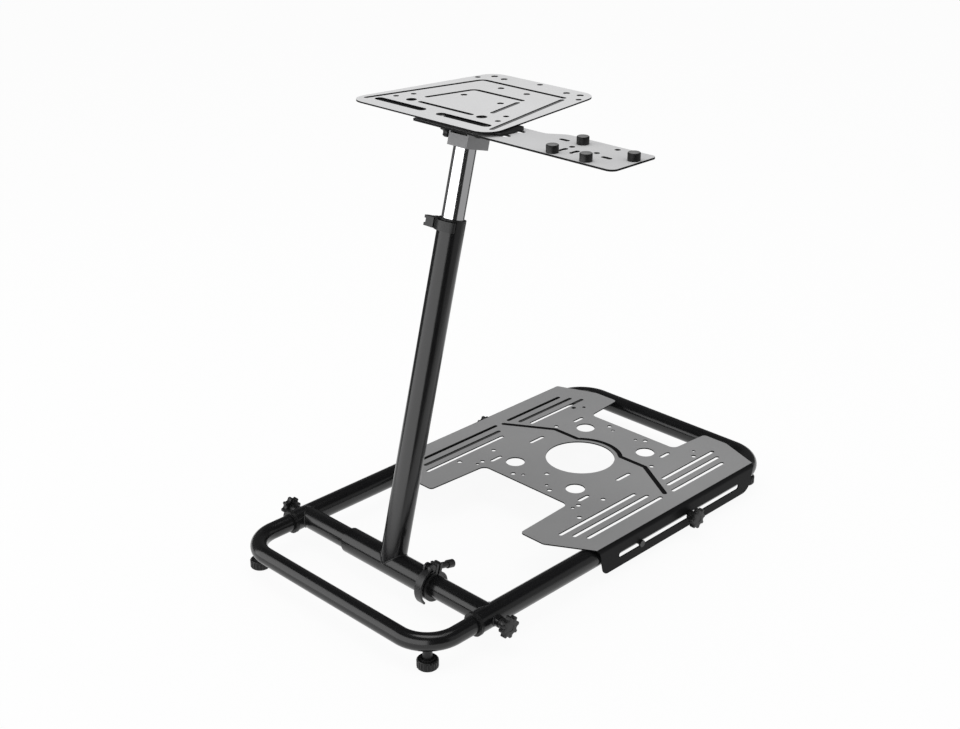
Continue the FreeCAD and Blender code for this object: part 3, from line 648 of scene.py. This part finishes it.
pedal_front_y, pedal_rear_y = 201.0, 735.0
notch_front_y, notch_rear_y = 335.0, 647.0
notch_half = 106.0
tip_half = 113.0
cheek_half = 167.0
cheek_r = 13.0
corner_r = 7.5
fold_corner_r = 6
flange_step = flat_at(58.0)
flange_edge = flat_at(pedal_top - 53.0)
centre_y = 490.2
half_sheet = [
    (tip_half, pedal_front_y),
    (cheek_half, pedal_front_y, cheek_r),
    (fold_from, 246.8, fold_corner_r),
    (flange_step, 252.0, fold_corner_r),
    (flange_edge, 262.5, 14),
    (flange_edge, 691.0, 24),
    (flange_step, 700.0, fold_corner_r),
    (fold_from, 704.5, fold_corner_r),
    (cheek_half, pedal_rear_y, cheek_r),
    (tip_half, pedal_rear_y),
    (notch_half, notch_rear_y, cheek_r),
]
other_half = [(-point[0],) + point[1:] for point in reversed(half_sheet)]
notch_front = [(side * notch_half, notch_front_y, cheek_r) for side in sides]
pedal_outline = rounded(half_sheet + other_half + notch_front, corner_r)

# Pedal plate's holes: bolt holes, foot strips of three slots, short slots and the flange slots
strip_w = 8.0
pedal_hole_sets = (
    (4.8, both_sides([(121.8, 345.7), (121.8, 557.5), (152.0, 313.7), (139.4, 394.3), (154.0, 647.0),
                      (46.2, 351.2), (45.8, 632.9)]) + [(0.0, 395.0)]),
    (3.5, both_sides([(121.0, 331.3), (140.8, 664.2), (29.8, 361.4), (29.0, 623.2)])),
)
pedal_strips = ((168.0, 242.0, 452.0), (188.6, 255.0, 464.0), (210.0, 268.0, 477.0), (168.0, 531.0, 692.0),
                (189.0, 519.0, 679.0), (210.0, 507.0, 666.0))
pedal_short_slots = ((111.0, 372.4, 11.0), (110.2, 486.9, 16.0), (110.7, 612.0, 10.0))
pedal_cuts = [circle(0, centre_y, 66.4, 96)]
pedal_cuts += [circle(x, y, 18.2, 48) for x, y in both_sides([(76.2, 389.1), (76.2, 594.4)])]
for radius, places in pedal_hole_sets:
    pedal_cuts += [circle(x, y, radius) for x, y in places]
for x, front, rear in pedal_strips:
    pedal_cuts += slot_pair(x, front + strip_w / 2, rear - strip_w / 2, strip_w)
for x, y, run in pedal_short_slots:
    pedal_cuts += slot_pair(x, y - run, y + run, strip_w)
pedal_cuts += slot_pair(flat_at(38.5), 308.0, 651.0, 11.0)

# Arrow groove: round the centre hole and out to both sides
arrow_w = 9.5
arrow_r = 78.1
arrow_bend_r = 6.0
left_arm = [(-204.9, 491.5), (-114.6, 546.1), (-54.7, 546.0)]
right_arm = [(-x, y) for x, y in reversed(left_arm)]
arrow = (rounded(left_arm, arrow_bend_r, closed=False)
         + arc((0, centre_y), arrow_r, 134.4, 45.6)[1:-1]
         + rounded(right_arm, arrow_bend_r, closed=False))
arrow_floor = pedal_top - groove_deep
layered("pedal_plate_sheet", [(pedal_outline, pedal_cuts, pedal_top - pedal_t, arrow_floor),
                              (pedal_outline, pedal_cuts + [ribbon(arrow, arrow_w)], arrow_floor, pedal_top)],
        folded, pedal_black_painted_reflection, "pedal_deck", "pedal_plate", fold_lines)


# Clamps. In each clamp's own places x and y lie across its tube, with the ears and the bolt on
# the -x side, and z runs along the tube
upper_s = 592.0
lower_x = 100.5
upper_bolt_x = -37.0
lower_bolt_x = -33.0
pin_y = -15.5
slit_half = 2.0
ear_back = 7.0
fork_half = 4.0
arm_t = 4.0
lever_end_deg = -37.0


def upper(x, y, z):
    return on_column(x, y, upper_s + z)


def upper_side(x, z, y):
    """For layers that are drawn along the column and stacked across it."""
    return upper(x, y, z)


def lower(x, y, z):
    return on_column(lower_x + z, y, -x)


def lever_arm(bolt_x, radius):
    """Outline of a lever's arm, which runs round the tube from the cross pin."""
    start = math.degrees(math.atan2(pin_y, bolt_x))
    return ribbon(arc((0, 0), radius, start, lever_end_deg, 30), arm_t)


# Upper clamp: two ears on the slit tube and a lever with a block head
ear_half_h = 8.0
ear_out, ear_in = -45.0, -21.8
ear = rounded([(ear_out, -ear_half_h), (ear_in, -ear_half_h, 0.2), (ear_in, ear_half_h, 0.2),
               (ear_out, ear_half_h)], 4)
bolt_way = [circle(upper_bolt_x, 0.0, 3.2)]
layered("height_clamp_ears", [(ear, bolt_way, -ear_back, -slit_half), (ear, bolt_way, slit_half, ear_back)],
        upper_side, cast_black, "column", "height_clamp")

upper_half_w = 8.5
block_back, block_front = upper_bolt_x - 7.2, upper_bolt_x + 16.0
block_low, block_high = pin_y - 6.5, pin_y + 7.2
bar_back, bar_high = upper_bolt_x - 2.0, pin_y - 3.9
block = rounded([(block_back, block_low, 3.5), (block_front, block_low, 0.5), (block_front, block_high, 2),
                 (block_back, block_high, 7.1)], 1)
bar = rounded([(bar_back, block_low), (block_front, block_low), (block_front, bar_high),
               (bar_back, bar_high)], 0.5)
upper_arm = lever_arm(upper_bolt_x, 26.5)
layered("height_lever_casting", [(upper_arm, [], -upper_half_w, upper_half_w),
                                 (block, [], -upper_half_w, -fork_half),
                                 (bar, [], -fork_half, fork_half),
                                 (block, [], fork_half, upper_half_w)],
        upper, cast_black, "height_lever", "height_lever")

# Lower clamp: split ring with ears, a lever with a round head, and the bolt with its nut and pin
ring_out_r, ring_in_r = 27.0, 23.1
ring_half_w = 8.0
ring_root_x = -26.08
ear_end_x = -41.0
lower_half_w = 7.5
ear_line = [(ear_end_x, -slit_half), (ear_end_x, -ear_back), (ring_root_x, -ear_back)]
far_ear_line = [(x, -y) for x, y in reversed(ear_line)]
clamp_ring = (rounded(ear_line, 0.8, closed=False) + arc((0, 0), ring_out_r, -165.0, 165.0, 72)
              + rounded(far_ear_line, 0.8, closed=False) + arc((0, 0), ring_in_r, 175.0, -175.0, 72))
layered("fold_clamp_ring", [(clamp_ring, [], -ring_half_w, ring_half_w)], lower, cast_black,
        "column", "fold_clamp")
lever_head = circle(lower_bolt_x, pin_y, 8.0)
lower_arm = lever_arm(lower_bolt_x, 34.0)
layered("fold_lever_casting", [(lower_arm, [], -lower_half_w, lower_half_w),
                               (lever_head, [], -lower_half_w, -fork_half),
                               (lever_head, [], fork_half, lower_half_w)],
        lower, cast_black, "fold_lever", "fold_lever")
bolt_axis = (lower(0, 1, 0) - lower(0, 0, 0)).normalized()
bolt_shank = [(0, pin_y), (3.0, pin_y), (3.0, ear_back)]
bolt_nut = [(6.2, ear_back), (6.2, 10.0), (5.5, 10.0), (5.5, 26.0), (6.6, 26.0), (7.2, 26.6), (7.2, 39.4),
            (6.6, 40.0), (4.0, 40.0), (3.4, 39.4), (0, 39.4)]
bolt = turned("fold_bolt_and_nut", [(lower(lower_bolt_x, 0, 0), bolt_axis)], bolt_shank + bolt_nut,
              cast_black, "column")
pin_profile = [(0, -8.3), (2.6, -8.0), (3.6, -7.2), (3.6, 7.2), (2.6, 8.0), (0, 8.3)]
turned("fold_cross_pin", [(lower(lower_bolt_x, pin_y, 0), X)], pin_profile, dark_metal,
       "column")
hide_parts("fold_clamp_bolt")


# Star knobs
knob_lobes = 8
scallop_r = 5.4
scallop_out = 1.0
hub_r = 9.0
hub_end = 11.5
knob_end = 22.0


def lobed_reach(r, radius, angle):
    """Distance from the axis to the edge of a knob's level of radius r, at the given angle."""
    beside = math.remainder(angle - math.pi / knob_lobes, 2 * math.pi / knob_lobes)
    centre = radius + scallop_out
    inside = scallop_r ** 2 - (centre * math.sin(beside)) ** 2
    if inside <= 0:
        return r
    return min(r, centre * math.cos(beside) - math.sqrt(inside) - (radius - r))


def star_knob(node, radius, axis):
    """Lobed knob along the axis, with its face at the end of the node's box."""
    low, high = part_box(node)
    seat = (low + high) / 2
    seat.x = high.x - knob_end / 1000 if axis.x > 0 else low.x + knob_end / 1000
    turn = axis.to_track_quat("Z", "Y").to_matrix()
    steps = 128
    bm = bmesh.new()
    rings = []
    profile = [(hub_r, 0.0, False), (hub_r, hub_end, False), (radius - 1.6, hub_end, True),
               (radius - 0.5, 12.0, True), (radius, 13.1, True), (radius, 20.2, True),
               (radius - 0.5, 21.4, True), (radius - 1.8, knob_end, True), (6.6, knob_end, False),
               (6.2, 21.5, False), (0.0, 21.5, False)]
    for r, height, lobed in profile:
        ring = []
        for i in range(steps):
            angle = 2 * math.pi * i / steps
            reach = lobed_reach(r, radius, angle) if lobed else r
            place = Vector((reach * math.cos(angle), reach * math.sin(angle), height)) / 1000
            ring.append(bm.verts.new(seat + turn @ place))
        rings.append(ring)
    for a, b in zip(rings, rings[1:]):
        for i in range(steps):
            j = (i + 1) % steps
            bm.faces.new((a[i], a[j], b[j], b[i]))
    bm.faces.new(rings[0])
    bmesh.ops.remove_doubles(bm, verts=bm.verts, dist=1e-7)
    bmesh.ops.recalc_face_normals(bm, faces=bm.faces)
    mesh = bpy.data.meshes.new(node + "_star")
    bm.to_mesh(mesh)
    bm.free()
    piece = finish_piece(node + "_star", mesh, plastic_black, node, 35)
    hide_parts(node)


for name in ("lock_knob", "pedal_knob"):
    for side_name, axis in (("left", -X), ("right", X)):
        star_knob(name + "_" + side_name, 19.5, axis)
star_knob("tilt_knob", 20.0, -X)

# Hinge bolt: hexagon head outside the head's right cheek
bolt_end_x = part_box("tilt_bolt")[1].x
hinge = Vector(next(j for j in record["behaviour"]["joints"] if j["name"] == "deck_tilt")["pos_m"])
bolt_head = [(6.2, 0, 6), (6.2, 3.0, 6), (5.6, 3.6), (4.6, 3.8), (0, 3.8)]
turned("hinge_bolt_head", [(Vector((bolt_end_x, hinge.y, hinge.z)), X)], bolt_head, dark_metal,
       "inner_column")

# Softened edges on castings and folded parts
castings = ("height_lever_casting", "fold_lever_casting", "height_clamp_ears", "fold_clamp_ring")
softened = [(nodes["column_head"], 0.0009), (nodes["tilt_bracket"], 0.0005)]
softened += [(bpy.data.objects[name], 0.0005) for name in castings]
for piece, width in softened:
    edge = piece.modifiers.new("edge", "BEVEL")
    edge.width = width
    edge.segments = 2
    edge.limit_method = "ANGLE"
    edge.angle_limit = math.radians(40)


# Studio: pale floor, soft lamps, and cards that only reflections show
studio_white = 1.0
world_level = 0.62
floor_shown = 0.93
card_radius = 1.3
card_foot = 0.001
card_top = 0.95
crown_top = 2.0
seen_rays = ("Is Camera Ray", "Is Glossy Ray", "Is Transmission Ray")


def any_of(tree, names):
    """1 for rays of any of the named kinds."""
    path = tree.nodes.new("ShaderNodeLightPath")
    value = path.outputs[names[0]]
    for name in names[1:]:
        value = maths(tree, "MAXIMUM", value, path.outputs[name])
    return value


# World: an even level on the object, and plain white where it is seen or mirrored
world = bpy.data.worlds.new("studio")
bpy.context.scene.world = world
world.use_nodes = True
tree = world.node_tree
tree.nodes.clear()
lit = tree.nodes.new("ShaderNodeBackground")
lit.inputs["Color"].default_value = (1, 1, 1, 1)
lit.inputs["Strength"].default_value = world_level
shown = tree.nodes.new("ShaderNodeBackground")
shown.inputs["Color"].default_value = (1, 1, 1, 1)
shown.inputs["Strength"].default_value = studio_white
blend = tree.nodes.new("ShaderNodeMixShader")
tree.links.new(any_of(tree, seen_rays), blend.inputs["Fac"])
tree.links.new(lit.outputs[0], blend.inputs[1])
tree.links.new(shown.outputs[0], blend.inputs[2])
out = tree.nodes.new("ShaderNodeOutputWorld")
tree.links.new(blend.outputs[0], out.inputs["Surface"])

# Floor: shown nearly white, with the stand's shadow in the small share that takes light
bpy.ops.mesh.primitive_plane_add(size=30.0, location=(0, 0, 0))
floor = bpy.context.object
floor.name = "studio_floor"
floor_mat, tree, shader = material("pale_floor")
floor.data.materials.append(floor_mat)
shader.inputs["Roughness"].default_value = 0.9
shader.inputs["Specular IOR Level"].default_value = 0.1
floor_colour = mix_colour(tree, noise(tree, 2.0), (0.90, 0.90, 0.90), (0.93, 0.93, 0.93))
tree.links.new(floor_colour, shader.inputs["Base Color"])
white = tree.nodes.new("ShaderNodeEmission")
white.inputs["Color"].default_value = (1, 1, 1, 1)
blend = tree.nodes.new("ShaderNodeMixShader")
output = next(n for n in tree.nodes if n.type == "OUTPUT_MATERIAL")
tree.links.new(maths(tree, "MULTIPLY", any_of(tree, seen_rays), floor_shown), blend.inputs["Fac"])
tree.links.new(shader.outputs["BSDF"], blend.inputs[1])
tree.links.new(white.outputs[0], blend.inputs[2])
tree.links.new(blend.outputs[0], output.inputs["Surface"])


def card(name, turn_from, turn_to, low, high, level, narrowed=0.0):
    """Curved card around the stand, from one angle to another past the camera's direction,
    narrowed towards its top and seen in reflections alone."""
    bm = bmesh.new()
    degrees_each = 6
    count = int((turn_to - turn_from) / degrees_each)
    columns = []
    for i in range(count + 1):
        angle = math.radians(azimuth_deg - 90 + turn_from + (turn_to - turn_from) * i / count)
        columns.append([bm.verts.new((r * math.cos(angle), r * math.sin(angle), z))
                        for r, z in ((card_radius, low), (card_radius - narrowed, high))])
    for a, b in zip(columns, columns[1:]):
        bm.faces.new((a[0], b[0], b[1], a[1]))
    mesh = bpy.data.meshes.new(name)
    bm.to_mesh(mesh)
    bm.free()
    mat = bpy.data.materials.new(name)
    mat.use_nodes = True
    mat.cycles.emission_sampling = "NONE"
    tree = mat.node_tree
    tree.nodes.clear()
    glow = tree.nodes.new("ShaderNodeEmission")
    glow.inputs["Color"].default_value = (1, 1, 1, 1)
    glow.inputs["Strength"].default_value = level
    out = tree.nodes.new("ShaderNodeOutputMaterial")
    tree.links.new(glow.outputs[0], out.inputs["Surface"])
    mesh.materials.append(mat)
    piece = bpy.data.objects.new(name, mesh)
    bpy.context.scene.collection.objects.link(piece)
    piece.visible_camera = False
    piece.visible_diffuse = False
    piece.visible_transmission = False
    piece.visible_shadow = False


card("front_left_card", -96, -8, card_foot, card_top, 2.2)
card("right_dark_card", -8, 32, card_foot, card_top, 0.03)
card("right_grey_card", 32, 122, card_foot, card_top, 0.38)
card("rear_dark_card", 122, 264, card_foot, card_top, 0.10)
card("crown_card", 0, 360, card_top, crown_top, 0.04, narrowed=0.6)


def softbox(name, place, aim, width, height, watts, glossy):
    """Area lamp turned towards aim. Only a glossy one shows in reflections."""
    lamp = bpy.data.lights.new(name, "AREA")
    lamp.shape = "RECTANGLE"
    lamp.size = width
    lamp.size_y = height
    lamp.energy = watts
    holder = bpy.data.objects.new(name, lamp)
    bpy.context.scene.collection.objects.link(holder)
    holder.location = place
    holder.visible_glossy = glossy
    direction = Vector(aim) - Vector(place)
    holder.rotation_euler = direction.to_track_quat("-Z", "Y").to_euler()


softbox("top_light", (-0.2, 0.1, 4.6), (0, 0, 0.3), 3.0, 3.0, 56, True)
softbox("left_light", (-1.8, -1.9, 1.5), (0, 0, 0.4), 0.9, 2.2, 12, False)
softbox("right_light", (2.4, 0.6, 1.3), (0, 0, 0.4), 0.7, 2.0, 8, False)

# Camera, as solved from the photograph
camera_data = bpy.data.cameras.new("photo_camera")
camera_data.sensor_fit = "HORIZONTAL"
camera_data.sensor_width = sensor_mm
camera_data.lens = focal_px / photo_width * sensor_mm
camera_data.clip_end = 60
camera = bpy.data.objects.new("photo_camera", camera_data)
bpy.context.scene.collection.objects.link(camera)
camera.location = camera_place
camera.rotation_euler = (math.radians(90 - elevation_deg), 0, math.radians(azimuth_deg))
bpy.context.scene.camera = camera
bpy.context.scene.view_settings.view_transform = "Standard"
